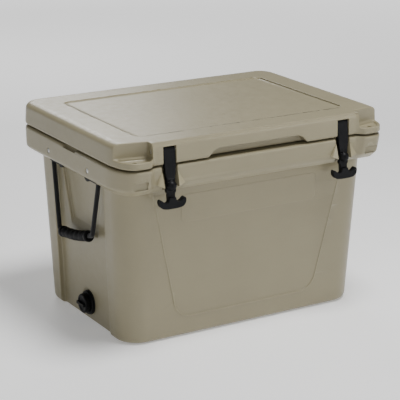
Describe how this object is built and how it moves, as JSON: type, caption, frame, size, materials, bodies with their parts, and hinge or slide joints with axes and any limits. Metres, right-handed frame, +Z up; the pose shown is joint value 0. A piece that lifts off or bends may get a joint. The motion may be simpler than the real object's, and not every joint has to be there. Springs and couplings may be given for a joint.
{
  "type": "cooler chest",
  "caption": "Insulated hard-sided cooler chest with a hinged lid, rubber T-latches, swinging rope handles, padlock corners and a screw-cap drain.",
  "frame": {"origin": "on the ground under the middle of the chest, at the bottom centre of its bounding box", "axes": "+X along the chest to its right end as seen from the front, +Y to the hinge side, +Z up; the latches are on the -Y side and the drain on the -X end"},
  "size_m": [0.66, 0.5, 0.45],
  "materials": {
    "shell": "rotomoulded polyethylene, light khaki, fine satin grain",
    "foam": "rigid polyurethane foam",
    "black_plastic": "moulded black, satin",
    "latch_rubber": "moulded black rubber, satin",
    "grip_rubber": "moulded black rubber, ribbed",
    "seal_rubber": "soft black rubber",
    "foot_rubber": "non-slip black rubber",
    "rope": "braided black polyester",
    "steel": "stainless"
  },
  "bodies": {
    "tub": {"tub_shell": "shell", "tub_foam_core": "foam", "tub_fill_plug": "black_plastic", "foot_front_left": "foot_rubber", "foot_front_right": "foot_rubber", "foot_back_left": "foot_rubber", "foot_back_right": "foot_rubber", "hinge_pin_left": "steel", "hinge_pin_right": "steel", "hinge_clip_left": "steel", "hinge_clip_right": "steel", "handle_anchor_front_left": "black_plastic", "handle_anchor_back_left": "black_plastic", "handle_anchor_front_right": "black_plastic", "handle_anchor_back_right": "black_plastic", "handle_screw_front_left": "steel", "handle_screw_back_left": "steel", "handle_screw_front_right": "steel", "handle_screw_back_right": "steel", "drain_fitting": "black_plastic", "drain_gasket": "seal_rubber", "drain_nut": "black_plastic"},
    "lid": {"lid_shell": "shell", "lid_foam_core": "foam", "lid_fill_plug": "black_plastic", "lid_gasket": "seal_rubber", "latch_pin_left": "steel", "latch_pin_right": "steel"},
    "latch_left": {"latch_left": "latch_rubber"},
    "latch_right": {"latch_right": "latch_rubber"},
    "handle_left": {"handle_rope_left": "rope", "handle_grip_left": "grip_rubber", "handle_collar_front_left": "black_plastic", "handle_collar_back_left": "black_plastic"},
    "handle_right": {"handle_rope_right": "rope", "handle_grip_right": "grip_rubber", "handle_collar_front_right": "black_plastic", "handle_collar_back_right": "black_plastic"},
    "drain_washer": {"drain_cap_washer": "seal_rubber"},
    "drain_cap": {"drain_cap": "black_plastic"}
  },
  "joints": [
    {"name": "lid_hinge", "type": "hinge", "parent": "tub", "child": "lid", "pos_m": [0, 0.2405, 0.4], "axis": [-1, 0, 0], "range_deg": [0, 100]},
    {"name": "latch_left_swing", "type": "hinge", "parent": "lid", "child": "latch_left", "pos_m": [-0.215, -0.2285, 0.4315], "axis": [-1, 0, 0], "range_deg": [0, 105]},
    {"name": "latch_right_swing", "type": "hinge", "parent": "lid", "child": "latch_right", "pos_m": [0.215, -0.2285, 0.4315], "axis": [-1, 0, 0], "range_deg": [0, 105]},
    {"name": "handle_left_swing", "type": "hinge", "parent": "tub", "child": "handle_left", "pos_m": [-0.31, 0, 0.34], "axis": [0, 1, 0], "range_deg": [0, 85]},
    {"name": "handle_right_swing", "type": "hinge", "parent": "tub", "child": "handle_right", "pos_m": [0.31, 0, 0.34], "axis": [0, -1, 0], "range_deg": [0, 85]},
    {"name": "drain_washer_travel", "type": "slide", "parent": "tub", "child": "drain_washer", "axis": [-1, 0, 0], "range_m": [0, 0.0046]},
    {"name": "drain_cap_turn", "type": "hinge", "parent": "drain_washer", "child": "drain_cap", "pos_m": [-0.2897, 0, 0.04], "axis": [-1, 0, 0], "range_deg": [0, 540]}
  ],
  "couplings": [
    {"joint": "drain_washer_travel", "follows": "drain_cap_turn", "m_per_rad": 0.00047746}
  ]
}
